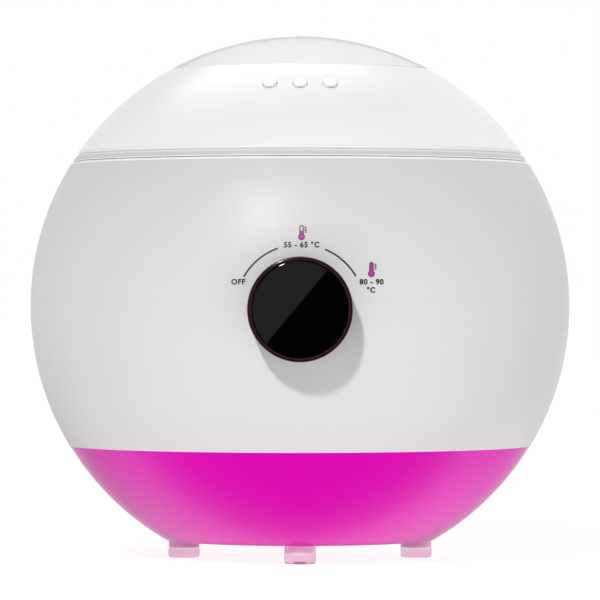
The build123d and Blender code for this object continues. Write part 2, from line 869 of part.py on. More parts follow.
def make_lid_band():
    """Trim ring that fills the gap between the lid and the rim, almost flush with the ball."""
    low = rim_height + band_gap
    band = ball(sphere_radius - band_inset) & rod_z(sphere_radius, low, lid_edge_height)
    outer_edges = widest(circles_at(band, low)) + widest(circles_at(band, lid_edge_height))
    band = fillet(outer_edges, band_round)
    return band - rod_z(neck_outer, low - overrun, lid_edge_height + overrun)


def make_window():
    """Clear dome that completes the ball, with a flange under the lid and a gate mark on top."""
    crown = centre_height + sphere_radius
    dome = ball(sphere_radius) & rod_z(window_radius, window_flange_bottom, crown)
    inner = window_radius - window_wall
    dome -= ball(sphere_radius - window_wall) & rod_z(inner, 0, crown)
    dome += ring(window_radius + window_flange, inner, window_flange_bottom, window_flange_top)
    nub = rod_z(window_nub_diameter / 2, crown - window_wall / 2, crown + window_nub_rise)
    nub = fillet(widest(circles_at(nub, crown + window_nub_rise)), window_nub_rise / 2)
    return dome + nub


def make_window_gasket():
    """Flat seal between the window's flange and the lid's seat."""
    outer = window_radius + window_flange
    return ring(outer, window_radius + window_gap, window_flange_top, window_seat)


def window_ring_outer():
    """Radius of the window ring, inside the lid's own curve."""
    return window_ring_reach - window_ring_gap


def make_window_ring():
    """Stepped ring that clamps the window from inside the lid."""
    inner = window_radius - window_wall
    plate = ring(window_ring_outer(), inner, window_ring_bottom, window_ring_step)
    plate += ring(window_radius + window_flange, inner, window_ring_step, window_flange_bottom)
    for x, y in window_boss_places():
        plate -= rod_z(screw_diameter / 2 + fit_gap, 0, window_seat, x, y)
    return plate


def make_window_screws():
    """Screws through the window ring into the lid's bosses."""
    body = small_screw(window_screw_bite)
    return [Pos(x, y, window_ring_bottom) * body for x, y in window_boss_places()]


def make_lid_gasket():
    """Soft ring under the lid's neck that rests on the collar."""
    return ring(neck_outer, neck_outer - neck_wall, collar_top, neck_bottom)


# Inside wires, along routes chosen by hand


def wire(points):
    """Round wire along a route with rounded corners."""
    path = FilletPolyline(*points, radius=wire_bend)
    start = Plane(origin=path @ 0, z_dir=path % 0)
    return sweep(start * Circle(wire_diameter / 2), path=path)


def spot(across_share, back_share, rise_share):
    """Point inside the ball, by shares of the ball's radius from its centre."""
    shares = (across_share, back_share, rise_share)
    x, y, rise = (share * sphere_radius for share in shares)
    return (x, y, centre_height + rise)


def pin_lead(side):
    """Start of a wire on the tail of an inlet pin, and its first bend."""
    x = side * inlet_pin_pitch / 2
    back = inlet_back - inlet_pin_tail
    return [(x, back, inlet_height), (x, back - wire_lead, inlet_height)]


def terminal_lead(side):
    """Start of a wire under the thermostat, and its first bend."""
    x = side * terminal_offset
    y = boss_face + plate_thickness + thermostat_depth / 2
    top = knob_height - thermostat_height / 2
    return [(x, y, top), (x, y, top - wire_drop)]


def fuse_lead(side):
    """Start of a wire at one end of the fuse, and its first bend."""
    start = side * fuse_length / 2
    return [(fuse_middle(), start, fuse_height), (fuse_middle(), start + side * wire_run, fuse_height)]


def lug_lead(side):
    """Start of a wire on one lug of the heater band, and its first bend."""
    face = heater_split / 2 + lug_thickness
    y = clamp_back() + wire_end_back
    z = heater_middle - side * wire_end_rise
    return [(side * face, y, z), (side * (face + wire_drop), y, z)]


def live_route():
    """From the inlet round the left side to the thermostat."""
    lead = pin_lead(-1)
    across, _, height = spot(-0.222, 0, -0.356)
    way = [
        (across, lead[-1][1], height),
        spot(-0.578, 0.533, -0.400),
        spot(-0.778, 0.089, -0.422),
        spot(-0.689, -0.378, -0.400),
        spot(-0.333, -0.733, -0.333),
    ]
    return lead + way + terminal_lead(-1)[::-1]


def switched_route():
    """From the thermostat up the right side to the fuse."""
    way = [
        spot(0.333, -0.733, -0.311),
        spot(0.667, -0.422, -0.244),
        spot(0.689, -0.333, 0.156),
    ]
    return terminal_lead(1) + way + fuse_lead(-1)[::-1]


def fused_route():
    """From the fuse round the back to the heater band."""
    way = [
        spot(0.489, 0.533, 0.222),
        spot(0.200, 0.733, 0.156),
        spot(-0.156, 0.733, 0.089),
    ]
    return fuse_lead(1) + way + lug_lead(-1)[::-1]


def neutral_route():
    """From the inlet straight to the heater band."""
    lead = pin_lead(1)
    corner = lug_lead(1)[-1]
    turn = (corner[0], lead[-1][1], inlet_height)
    return lead + [turn] + lug_lead(1)[::-1]


def all_nodes():
    """Every node of the warmer by its name."""
    nodes = {
        "base_shell": make_base_shell(),
        "base_screws": make_base_screws(),
        "tie_pillars": make_tie_pillars(),
        "heat_shield": make_heat_shield(),
        "housing": make_housing(),
        "hinge_pin": make_hinge_pin(),
        "inner_collar": make_collar(),
        "collar_screws": make_collar_screws(),
        "heating_well": make_well(),
        "wax_pot": make_pot(),
        "pot_grips": make_grips(),
        "heater_band": make_heater(),
        "heater_clamp": make_clamp(),
        "insulation_sleeve": make_insulation(),
        "thermal_fuse": make_fuse(),
        "fuse_clip": make_fuse_clip(),
        "thermostat_plate": make_thermostat_plate(),
        "thermostat_body": make_thermostat_body(),
        "thermostat_nut": make_thermostat_nut(),
        "thermostat_shaft": make_shaft(),
        "knob_core": make_knob_core(),
        "knob_clip": make_knob_clip(),
        "knob_sleeve": make_knob_sleeve(),
        "knob_cap": make_knob_cap(),
        "power_inlet": make_inlet(),
        "inlet_pins": make_inlet_pins(),
        "inlet_screws": make_inlet_screws(),
        "lid_shell": make_lid_shell(),
        "lid_neck": make_lid_neck(),
        "lid_band": make_lid_band(),
        "lid_pips": make_pips(),
        "lid_window": make_window(),
        "window_gasket": make_window_gasket(),
        "window_ring": make_window_ring(),
        "window_ring_screws": make_window_screws(),
        "lid_gasket": make_lid_gasket(),
        "wire_live": wire(live_route()),
        "wire_switched": wire(switched_route()),
        "wire_fused": wire(fused_route()),
        "wire_neutral": wire(neutral_route()),
    }
    foot_names = ("foot_right", "foot_rear", "foot_left", "foot_front")
    for name, (x, y) in zip(foot_names, places_on_circle(foot_circle, len(foot_names), 0)):
        nodes[name] = make_foot(x, y)
    return nodes


os.makedirs("parts", exist_ok=True)
for node_name, shape in all_nodes().items():
    solids = Compound(children=shape) if isinstance(shape, list) else shape
    export_step(solids, f"parts/{node_name}.step")
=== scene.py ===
import math

import bmesh
import bpy
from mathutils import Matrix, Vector


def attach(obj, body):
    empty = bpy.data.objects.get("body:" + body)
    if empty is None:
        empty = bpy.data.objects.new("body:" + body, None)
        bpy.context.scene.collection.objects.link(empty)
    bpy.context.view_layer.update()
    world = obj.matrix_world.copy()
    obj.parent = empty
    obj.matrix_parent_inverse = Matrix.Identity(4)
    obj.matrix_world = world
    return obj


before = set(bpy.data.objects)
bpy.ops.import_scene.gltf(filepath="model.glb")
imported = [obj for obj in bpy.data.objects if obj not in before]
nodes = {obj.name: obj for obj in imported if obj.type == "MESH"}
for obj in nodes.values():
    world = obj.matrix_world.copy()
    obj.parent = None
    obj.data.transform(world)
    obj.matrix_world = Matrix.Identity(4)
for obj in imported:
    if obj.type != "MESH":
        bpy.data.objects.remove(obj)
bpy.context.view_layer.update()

# Sizes of the warmer, in metres
MM = 0.001
BALL_RADIUS = 90 * MM
BALL_CENTRE = Vector((0, 0, 84 * MM))
KNOB_HEIGHT = 83 * MM

# Levels where a finish changes, and where painted light and shade come in
MOULD_LINE_HEIGHT = 85 * MM
MOULD_LINE_WIDTH = 0.25 * MM
# Painted highlight along the housing's rim
RIM_PAINTED_HIGHLIGHT_START = 130.99 * MM
RIM_PAINTED_HIGHLIGHT_FULL = 131.19 * MM
# Painted shade along the base's bottom edge, painted light on the stubs and a painted highlight at the
# feet's top
BASE_EDGE_SHADE_START = 7.4 * MM
BASE_EDGE_SHADE_FULL = 6.8 * MM
STUB_PAINTED_LIGHT_START = 6.0 * MM
STUB_PAINTED_LIGHT_FULL = 5.8 * MM
FOOT_TOP_HEIGHT = 3.4 * MM
FOOT_HIGHLIGHT_WIDTH = 0.9 * MM
# Painted light along the lid band's lower and upper edges
BAND_FOOT_PAINTED_LIGHT_START = 132.45 * MM
BAND_FOOT_PAINTED_LIGHT_FULL = 132.2 * MM
BAND_HEAD_PAINTED_LIGHT_START = 133.5 * MM
BAND_HEAD_PAINTED_LIGHT_FULL = 134.0 * MM
# Painted shade along the lid's lower edge
LID_EDGE_SHADE_HEIGHT = 135.3 * MM
LID_EDGE_SHADE_WIDTH = 0.6 * MM
# Painted shade on the pips' lower sides
PIP_PAINTED_SHADE_START = 155.1 * MM
PIP_PAINTED_SHADE_FULL = 154.6 * MM
# Painted highlight at the window's gate mark, and edges of the painted limb shade on window and pips
NUB_HIGHLIGHT_RADII = (1.3 * MM, 1.0 * MM)
WINDOW_LIMB_SHADE = (0.83, 0.90)
PIP_LIMB_SHADE = (0.45, 0.75)

# Patterns in the finishes
FINE_DETAIL = 3.0
DRIFT_SCALE = 18.0
DRIFT_DETAIL = 1.0
RING_SCALE = 1.0
LINE_DETAIL = 4.0
SCRATCH_STRETCH = (0.04, 1.0, 1.0)
WEAVE_MIDDLE = 0.5
# Tones of the painted limb shade and the painted gate-mark highlight
LIMB_SHADE_GREY = 0.42
GATE_MARK_HIGHLIGHT_GREY = 0.98

# Print on the dial, with places given as (across, height) seen from the front
PRINT_SINK = 0.05 * MM
PRINT_RISE = 0.05 * MM
DIAL_RADIUS = 20.5 * MM
DIAL_STROKE = 0.5 * MM
DIAL_LEFT_SPAN = (-60.0, -20.0)
DIAL_RIGHT_SPAN = (22.6, 59.5)
DIAL_STEPS = 40
LABEL_SIZE = 2.35 * MM
LABEL_WEIGHT = 0.08 * MM
LABEL_SPACING = 1.12
LABEL_STEPS = 4
OFF_PLACE = (-19.5 * MM, 91.6 * MM)
LOW_FIGURES_PLACE = (0.5 * MM, 103.3 * MM)
HIGH_FIGURES_PLACE = (22.6 * MM, 91.6 * MM)
HIGH_UNIT_PLACE = (22.4 * MM, 89.0 * MM)

# Thermometer marks, placed by the centre of the bulb
LOW_MARK_PLACE = (0.5 * MM, 105.9 * MM)
HIGH_MARK_PLACE = (22.55 * MM, 94.25 * MM)
LOW_MARK_SHARE = 0.55
HIGH_MARK_SHARE = 1.0
MARK_BULB = 1.05 * MM
MARK_TUBE = 0.68 * MM
MARK_LENGTH = 3.0 * MM
MARK_LINE = 0.3 * MM
MARK_TICKS = 4
MARK_TICK = 0.6 * MM
MARK_TICK_PITCH = 0.52 * MM
MARK_STEPS = 12

# Camera, set so that the ball fills the frame as in the photograph
CAMERA_PLACE = Vector((0, -1.530, 0.085))
CAMERA_TARGET = Vector((0, 0, 0.0860))
CAMERA_LENS = 274.4
CAMERA_SENSOR = 36.0

# Lamps, each standing in a direction from the ball
KEY_TOWARDS = Vector((-0.25, -0.74, 0.615))
KEY_SPREAD = math.radians(5.0)
KEY_STRENGTH = 2.22
SIDE_TOWARDS = Vector((0.96, -0.22, 0.18))
SIDE_POWER = 4.3
BACK_TOWARDS = Vector((0.38, 0.72, 0.58))
BACK_POWER = 6.5
LAMP_DISTANCE = 1.4
LAMP_SIZE = 0.8
FILL_TOWARDS = Vector((0, 0.7, 0.71))
FILL_STRENGTH = 0.08

# Floor, as it lights the ball and as the camera sees it
FLOOR_SIZE = 60.0
FLOOR_DROP = 0.1 * MM
FLOOR_FRONT_GLOW = 0.6
FLOOR_BACK_GLOW = 0.15
FLOOR_GLOW_EDGES = (0.2, -0.2)
FLOOR_COLOUR = (0.92, 0.92, 0.92, 1)
SEEN_FLOOR_GLOW = 0.91
SEEN_FLOOR_COLOUR = (0.22, 0.22, 0.22, 1)

# The studio as gloss shows it
STUDIO_BEHIND = 1.1
STUDIO_HORIZON = 0.6
STUDIO_BELOW = 1.15
STUDIO_BEHIND_EDGES = (-0.2, -0.05)
STUDIO_BELOW_EDGES = (-0.35, -0.75)
STUDIO_SIDE_SHARE = 0.3
STUDIO_DARK_EDGE = -0.35
STUDIO_WHITE_EDGE = 0.55
STUDIO_FALL = 3.0
OVERHEAD_TOWARDS = Vector((-0.10, 0.46, 0.87))
OVERHEAD_EDGES = (math.cos(0.48), math.cos(0.22))
OVERHEAD_LIGHT = 4.0
CARD_TILT = math.radians(50.2)
CARD_SOFTNESS = 0.0002
CARD_AHEAD_EDGES = (-0.9, -0.97)
CARD_LIGHT = 0.36


# Node helpers

MIX_FACTOR = 0
MIX_FIRST_COLOUR = 6
MIX_SECOND_COLOUR = 7
MIX_COLOUR = 2


def colour(red, green, blue):
    """Colour with full alpha, in linear light."""
    return (red, green, blue, 1)


def grey(level):
    """Grey with full alpha, in linear light."""
    return (level, level, level, 1)


def join(tree, source, target):
    """Link between two sockets."""
    tree.links.new(source, target)


def feed(tree, value, target):
    """Gives an input a socket's value or a plain one."""
    if isinstance(value, bpy.types.NodeSocket):
        join(tree, value, target)
    else:
        target.default_value = value


def add(tree, kind, **inputs):
    """New node with some of its inputs fed, named with underscores for spaces."""
    node = tree.nodes.new(kind)
    for name, value in inputs.items():
        feed(tree, value, node.inputs[name.replace("_", " ")])
    return node


def place_group(tree, group, **inputs):
    """A node group placed in a tree, with some of its inputs fed."""
    node = tree.nodes.new("ShaderNodeGroup")
    node.node_tree = group
    for name, value in inputs.items():
        feed(tree, value, node.inputs[name])
    return node


def reckon(tree, operation, first, second=0.0):
    """Math node on two values, each a socket or a number."""
    node = tree.nodes.new("ShaderNodeMath")
    node.operation = operation
    feed(tree, first, node.inputs[0])
    feed(tree, second, node.inputs[1])
    return node.outputs[0]


def spread(tree, value, low, high):
    """Stretches a value from 0..1 to low..high."""
    return add(tree, "ShaderNodeMapRange", Value=value, To_Min=low, To_Max=high).outputs["Result"]


def step_up(tree, value, start, full):
    """Smooth step of a value from 0 at start to 1 at full."""
    node = add(tree, "ShaderNodeMapRange", Value=value, From_Min=start, From_Max=full)
    node.interpolation_type = "SMOOTHSTEP"
    return node.outputs["Result"]


def place_of(tree):
    """Coordinates in the warmer's own frame, in metres."""
    return tree.nodes.new("ShaderNodeTexCoord").outputs["Object"]


def parts_of(tree, vector):
    """The three numbers of a vector."""
    return add(tree, "ShaderNodeSeparateXYZ", Vector=vector).outputs


def height_in(tree):
    """Height above the floor."""
    return parts_of(tree, place_of(tree))[2]


def across_in(tree):
    """Distance from the upright axis."""
    x, y, _ = parts_of(tree, place_of(tree))
    squares = reckon(tree, "ADD", reckon(tree, "POWER", x, 2.0), reckon(tree, "POWER", y, 2.0))
    return reckon(tree, "SQRT", squares)


def noise(tree, vector, scale, detail):
    """Noise value from 0 to 1."""
    return add(tree, "ShaderNodeTexNoise", Vector=vector, Scale=scale, Detail=detail).outputs[0]


def mix_colours(tree, factor, first, second):
    """Colour between two colours, each a socket or a colour."""
    node = tree.nodes.new("ShaderNodeMix")
    node.data_type = "RGBA"
    join(tree, factor, node.inputs[MIX_FACTOR])
    feed(tree, first, node.inputs[MIX_FIRST_COLOUR])
    feed(tree, second, node.inputs[MIX_SECOND_COLOUR])
    return node.outputs[MIX_COLOUR]


# Patterns and tones of the materials, with painted light and shade, as node groups

FLOAT = "NodeSocketFloat"
COLOUR = "NodeSocketColor"
FINISH_INPUTS = {"Light": COLOUR, "Dark": COLOUR, "Scale": FLOAT, "Smooth": FLOAT, "Rough": FLOAT}
FINISH_OUTPUTS = {"Color": COLOUR, "Roughness": FLOAT, "Height": FLOAT}
SHADE_INPUTS = {"Color": COLOUR, "Shade": COLOUR, "Strength": FLOAT, "Start": FLOAT, "Full": FLOAT}
LINE_INPUTS = {"Color": COLOUR, "Shade": COLOUR, "Strength": FLOAT, "Level": FLOAT, "Width": FLOAT}


def new_group(name, inputs, outputs):
    """Empty shader node group with named sockets, its input sockets and its output node."""
    group = bpy.data.node_groups.new(name, "ShaderNodeTree")
    for socket_name, kind in inputs.items():
        group.interface.new_socket(socket_name, in_out="INPUT", socket_type=kind)
    for socket_name, kind in outputs.items():
        group.interface.new_socket(socket_name, in_out="OUTPUT", socket_type=kind)
    return group, group.nodes.new("NodeGroupInput").outputs, group.nodes.new("NodeGroupOutput")


def put_out(group, given, result, tone, relief):
    """Colour from one pattern, roughness and height from another."""
    join(group, mix_colours(group, tone, given["Dark"], given["Light"]), result.inputs["Color"])
    join(group, spread(group, relief, given["Smooth"], given["Rough"]), result.inputs["Roughness"])
    join(group, relief, result.inputs["Height"])


def moulded_grain():
    """Fine spark-eroded grain of moulded plastic, with a slow drift in tone."""
    group, given, result = new_group("moulded_grain", FINISH_INPUTS, FINISH_OUTPUTS)
    place = place_of(group)
    fine = noise(group, place, given["Scale"], FINE_DETAIL)
    slow = noise(group, place, DRIFT_SCALE, DRIFT_DETAIL)
    put_out(group, given, result, slow, fine)
    return group


def turned_lines():
    """Fine rings that a lathe leaves on spun metal, about the upright axis."""
    group, given, result = new_group("turned_lines", FINISH_INPUTS, FINISH_OUTPUTS)
    along = reckon(group, "ADD", across_in(group), height_in(group))
    line = add(group, "ShaderNodeCombineXYZ", X=reckon(group, "MULTIPLY", along, given["Scale"]))
    rings = noise(group, line.outputs[0], RING_SCALE, LINE_DETAIL)
    put_out(group, given, result, rings, rings)
    return group


def drawn_lines():
    """Long fine scratches along X, as on rolled and drawn metal."""
    group, given, result = new_group("drawn_lines", FINISH_INPUTS, FINISH_OUTPUTS)
    stretch = add(group, "ShaderNodeMapping", Vector=place_of(group), Scale=SCRATCH_STRETCH)
    scratches = noise(group, stretch.outputs[0], given["Scale"], LINE_DETAIL)
    put_out(group, given, result, scratches, scratches)
    return group


def woven_tape():
    """Over-and-under weave of glass fibre tape wrapped round the axis."""
    group, given, result = new_group("woven_tape", FINISH_INPUTS, FINISH_OUTPUTS)
    x, y, z = parts_of(group, place_of(group))
    turn = reckon(group, "MULTIPLY", reckon(group, "ARCTAN2", y, x), BALL_RADIUS)
    warp = reckon(group, "SINE", reckon(group, "MULTIPLY", turn, given["Scale"]))
    weft = reckon(group, "SINE", reckon(group, "MULTIPLY", z, given["Scale"]))
    weave = spread(group, reckon(group, "MULTIPLY", warp, weft), WEAVE_MIDDLE, 1.0)
    put_out(group, given, result, weave, weave)
    return group


def level_shade():
    """Painted light and shade: a lighter or darker tone that comes in from one height to another."""
    group, given, result = new_group("level_shade", SHADE_INPUTS, {"Color": COLOUR})
    mask = step_up(group, height_in(group), given["Start"], given["Full"])
    share = reckon(group, "MULTIPLY", mask, given["Strength"])
    join(group, mix_colours(group, share, given["Color"], given["Shade"]), result.inputs["Color"])
    return group


def level_line():
    """A soft level line of a tone, used for a parting line and for painted light and shade along edges.
    """
    group, given, result = new_group("level_line", LINE_INPUTS, {"Color": COLOUR})
    away = reckon(group, "ABSOLUTE", reckon(group, "SUBTRACT", height_in(group), given["Level"]))
    share = reckon(group, "MULTIPLY", step_up(group, away, given["Width"], 0.0), given["Strength"])
    join(group, mix_colours(group, share, given["Color"], given["Shade"]), result.inputs["Color"])
    return group


GRAIN = moulded_grain()
TURNED = turned_lines()
DRAWN = drawn_lines()
WOVEN = woven_tape()
LEVEL_SHADE = level_shade()
LEVEL_LINE = level_line()


# Materials


def finish(name, group, light, dark, scale, smooth, rough, bump, bump_depth, **settings):
    """Principled material whose colour, roughness and bump come from a finish group."""
    material = bpy.data.materials.new(name)
    material.use_nodes = True
    tree = material.node_tree
    shader = tree.nodes["Principled BSDF"]
    source = place_group(tree, group, Light=light, Dark=dark, Scale=scale, Smooth=smooth, Rough=rough)
    join(tree, source.outputs["Color"], shader.inputs["Base Color"])
    join(tree, source.outputs["Roughness"], shader.inputs["Roughness"])
    relief = source.outputs["Height"]
    raised = add(tree, "ShaderNodeBump", Height=relief, Strength=bump, Distance=bump_depth)
    join(tree, raised.outputs[0], shader.inputs["Normal"])
    for socket_name, value in settings.items():
        shader.inputs[socket_name.replace("_", " ")].default_value = value
    return material


def recolour(material, change):
    """Sends a material's colour through a change, a function from socket to socket."""
    tree = material.node_tree
    socket = tree.nodes["Principled BSDF"].inputs["Base Color"]
    join(tree, change(tree, socket.links[0].from_socket), socket)


def shade_levels(material, shade, strength, start, full):
    """Brings a painted lighter or darker tone in from one height to another."""
    def change(tree, plain):
        levels = {"Strength": strength, "Start": start, "Full": full}
        return place_group(tree, LEVEL_SHADE, Color=plain, Shade=shade, **levels).outputs["Color"]
    recolour(material, change)


def draw_line(material, shade, strength, level, width):
    """Draws a soft level line."""
    def change(tree, plain):
        levels = {"Strength": strength, "Level": level, "Width": width}
        return place_group(tree, LEVEL_LINE, Color=plain, Shade=shade, **levels).outputs["Color"]
    recolour(material, change)


def paint_limb_shade(material, edges, strength):
    """Painted shade: greys a clear piece's colour at its limb, standing in for the darker edge of clear
    plastic seen along its surface.
    """
    def change(tree, plain):
        along = tree.nodes.new("ShaderNodeLayerWeight").outputs["Facing"]
        share = reckon(tree, "MULTIPLY", step_up(tree, along, *edges), strength)
        return mix_colours(tree, share, plain, grey(LIMB_SHADE_GREY))
    recolour(material, change)


def white_housing():
    """Satin white moulding of the housing, with a faint parting line and a painted highlight along the
    rim.
    """
    material = finish(
        "white_housing", GRAIN, light=grey(0.69), dark=grey(0.68),
        scale=1400.0, smooth=0.36, rough=0.44, bump=0.05, bump_depth=0.02 * MM,
        Specular_IOR_Level=0.24,
    )
    draw_line(material, grey(0.55), strength=0.28, level=MOULD_LINE_HEIGHT, width=MOULD_LINE_WIDTH)
    # Painted highlight along the rim's top edge, where it catches the light
    shade_levels(material, grey(0.97), strength=1.0, start=RIM_PAINTED_HIGHLIGHT_START, full=RIM_PAINTED_HIGHLIGHT_FULL)
    return material


def white_lid():
    """Satin white of the lid, painted brighter than the housing's white as light on its upward face, with
    painted shade along its lower edge.
    """
    # The lid's white is set brighter than the housing's, as painted light on its upward face
    material = finish(
        "white_lid", GRAIN, light=grey(0.94), dark=grey(0.925),
        scale=1400.0, smooth=0.27, rough=0.33, bump=0.04, bump_depth=0.02 * MM,
        Specular_IOR_Level=0.26,
    )
    # Painted shade along the lid's lower rounded edge
    draw_line(material, grey(0.76), strength=0.8, level=LID_EDGE_SHADE_HEIGHT, width=LID_EDGE_SHADE_WIDTH)
    return material


def painted_shade_band():
    """Satin grey-white of the trim ring between lid and rim, painted darker than the lid's white as the
    shade under the lid's edge, with painted light along both its edges.
    """
    material = finish(
        "painted_shade_band", GRAIN, light=grey(0.66), dark=grey(0.645),
        scale=1400.0, smooth=0.40, rough=0.48, bump=0.05, bump_depth=0.02 * MM,
        Specular_IOR_Level=0.24,
    )
    # Painted light along the band's lower and upper edges, against the shade of the gap
    shade_levels(material, grey(0.97), strength=1.0, start=BAND_FOOT_PAINTED_LIGHT_START, full=BAND_FOOT_PAINTED_LIGHT_FULL)
    shade_levels(material, grey(0.86), strength=1.0, start=BAND_HEAD_PAINTED_LIGHT_START, full=BAND_HEAD_PAINTED_LIGHT_FULL)
    return material


def white_inside():
    """Plain white moulding of the trim inside."""
    return finish(
        "white_inside", GRAIN, light=colour(0.95, 0.95, 0.945), dark=colour(0.93, 0.93, 0.925),
        scale=1100.0, smooth=0.40, rough=0.52, bump=0.06, bump_depth=0.02 * MM,
    )


def magenta_base():
    """Deep gloss magenta of the base, with painted shade along its bottom edge, paler at the stubs for
    the feet as painted light through them, and a painted highlight where the feet meet it.
    """
    material = finish(
        "magenta_base", GRAIN, light=colour(0.69, 0.0, 0.435), dark=colour(0.67, 0.0, 0.42),
        scale=900.0, smooth=0.10, rough=0.14, bump=0.02, bump_depth=0.01 * MM,
        Specular_IOR_Level=0.35,
    )
    painted_edge_shade = colour(0.45, 0.0, 0.27)
    painted_stub_light = colour(0.95, 0.60, 0.78)
    painted_joint_highlight = colour(0.98, 0.88, 0.93)
    # Painted shade, painted light and a painted highlight, standing in for how light falls on and through
    # the base
    shade_levels(material, painted_edge_shade, strength=0.4, start=BASE_EDGE_SHADE_START, full=BASE_EDGE_SHADE_FULL)
    shade_levels(material, painted_stub_light, strength=1.0, start=STUB_PAINTED_LIGHT_START, full=STUB_PAINTED_LIGHT_FULL)
    draw_line(material, painted_joint_highlight, strength=1.0, level=FOOT_TOP_HEIGHT, width=FOOT_HIGHLIGHT_WIDTH)
    return material


def magenta_sleeve():
    """Dark see-through magenta of the knob's sleeve, over black."""
    return finish(
        "magenta_sleeve", GRAIN, light=colour(0.027, 0.003, 0.017), dark=colour(0.022, 0.002, 0.013),
        scale=900.0, smooth=0.10, rough=0.16, bump=0.02, bump_depth=0.01 * MM,
    )


def frosted_window():
    """Milky clear dome, with painted shade at its limb and a painted highlight on the gate mark."""
    material = finish(
        "frosted_window", GRAIN, light=grey(0.93), dark=grey(0.92),
        scale=700.0, smooth=0.46, rough=0.52, bump=0.02, bump_depth=0.02 * MM,
        Specular_IOR_Level=0.25,
    )
    # Painted shade at the dome's limb
    paint_limb_shade(material, WINDOW_LIMB_SHADE, strength=0.5)

    # Painted highlight on the gate mark at the pole, laid over the limb shade
    def gate_mark_highlight(tree, plain):
        near_axis = step_up(tree, across_in(tree), *NUB_HIGHLIGHT_RADII)
        return mix_colours(tree, near_axis, plain, grey(GATE_MARK_HIGHLIGHT_GREY))

    recolour(material, gate_mark_highlight)
    return material


def gloss_pip():
    """Clear gloss pips on the lid, with painted shade at the limb and along the lower side."""
    material = finish(
        "gloss_pip", GRAIN, light=grey(0.95), dark=grey(0.93),
        scale=900.0, smooth=0.06, rough=0.12, bump=0.02, bump_depth=0.01 * MM,
    )
    # Painted shade at the pips' limb and on their lower sides
    paint_limb_shade(material, PIP_LIMB_SHADE, strength=0.8)
    shade_levels(material, grey(0.36), strength=0.8, start=PIP_PAINTED_SHADE_START, full=PIP_PAINTED_SHADE_FULL)
    return material


def foot_rubber():
    """Clear pink soft plastic of the feet, with a painted highlight along the top edge."""
    material = finish(
        "foot_rubber", GRAIN, light=colour(0.92, 0.64, 0.78), dark=colour(0.89, 0.60, 0.75),
        scale=900.0, smooth=0.16, rough=0.24, bump=0.02, bump_depth=0.01 * MM,
        Transmission_Weight=0.85, IOR=1.12,
    )
    painted_joint_highlight = colour(0.97, 0.90, 0.94)
    # Painted highlight along the feet's top edge
    draw_line(material, painted_joint_highlight, strength=0.8, level=FOOT_TOP_HEIGHT, width=FOOT_HIGHLIGHT_WIDTH)
    return material


def black_gloss():
    """Piano black face of the knob."""
    return finish(
        "black_gloss", GRAIN, light=grey(0.0008), dark=grey(0.0005),
        scale=600.0, smooth=0.0, rough=0.012, bump=0.0, bump_depth=0.005 * MM,
    )


def black_moulding():
    """Black moulding behind the knob's face and at the inlet."""
    return finish(
        "black_moulding", GRAIN, light=grey(0.022), dark=grey(0.016),
        scale=1300.0, smooth=0.30, rough=0.42, bump=0.08, bump_depth=0.03 * MM,
    )


def spun_aluminium():
    """Spun aluminium of the pot and well."""
    return finish(
        "spun_aluminium", TURNED, light=colour(0.86, 0.86, 0.87), dark=colour(0.76, 0.76, 0.77),
        scale=2600.0, smooth=0.24, rough=0.38, bump=0.12, bump_depth=0.02 * MM,
        Metallic=1.0,
    )


def zinc_steel():
    """Zinc plated steel."""
    return finish(
        "zinc_steel", DRAWN, light=colour(0.66, 0.66, 0.67), dark=colour(0.54, 0.54, 0.55),
        scale=900.0, smooth=0.24, rough=0.40, bump=0.10, bump_depth=0.02 * MM,
        Metallic=1.0,
    )


def bare_brass():
    """Bare brass of the inlet's pins."""
    return finish(
        "bare_brass", DRAWN, light=colour(0.86, 0.66, 0.32), dark=colour(0.74, 0.55, 0.24),
        scale=1200.0, smooth=0.20, rough=0.34, bump=0.08, bump_depth=0.02 * MM,
        Metallic=1.0,
    )


def pale_silicone():
    """Milky silicone of the seals."""
    return finish(
        "pale_silicone", GRAIN, light=colour(0.94, 0.94, 0.93), dark=colour(0.91, 0.91, 0.90),
        scale=700.0, smooth=0.46, rough=0.58, bump=0.06, bump_depth=0.03 * MM,
    )


def grip_silicone():
    """Matt magenta silicone of the pot's grips."""
    return finish(
        "grip_silicone", GRAIN, light=colour(0.72, 0.008, 0.42), dark=colour(0.65, 0.006, 0.37),
        scale=800.0, smooth=0.48, rough=0.62, bump=0.08, bump_depth=0.03 * MM,
    )


def glass_fibre():
    """Woven glass fibre of the insulation."""
    return finish(
        "glass_fibre", WOVEN, light=colour(0.86, 0.84, 0.78), dark=colour(0.62, 0.60, 0.54),
        scale=3600.0, smooth=0.70, rough=0.90, bump=0.60, bump_depth=0.2 * MM,
    )


def dark_phenolic():
    """Dark phenolic moulding of the switch and fuse."""
    return finish(
        "dark_phenolic", GRAIN, light=colour(0.10, 0.085, 0.075), dark=colour(0.07, 0.06, 0.05),
        scale=900.0, smooth=0.44, rough=0.60, bump=0.10, bump_depth=0.04 * MM,
    )


def wire_brown():
    """Brown wire sheath."""
    return finish(
        "wire_brown", GRAIN, light=colour(0.26, 0.10, 0.04), dark=colour(0.20, 0.075, 0.03),
        scale=900.0, smooth=0.36, rough=0.48, bump=0.04, bump_depth=0.02 * MM,
    )


def wire_blue():
    """Blue wire sheath."""
    return finish(
        "wire_blue", GRAIN, light=colour(0.03, 0.13, 0.52), dark=colour(0.024, 0.10, 0.43),
        scale=900.0, smooth=0.36, rough=0.48, bump=0.04, bump_depth=0.02 * MM,
    )


def print_black():
    """Black pad print."""
    return finish(
        "print_black", GRAIN, light=grey(0.016), dark=grey(0.010),
        scale=2400.0, smooth=0.42, rough=0.56, bump=0.04, bump_depth=0.01 * MM,
    )


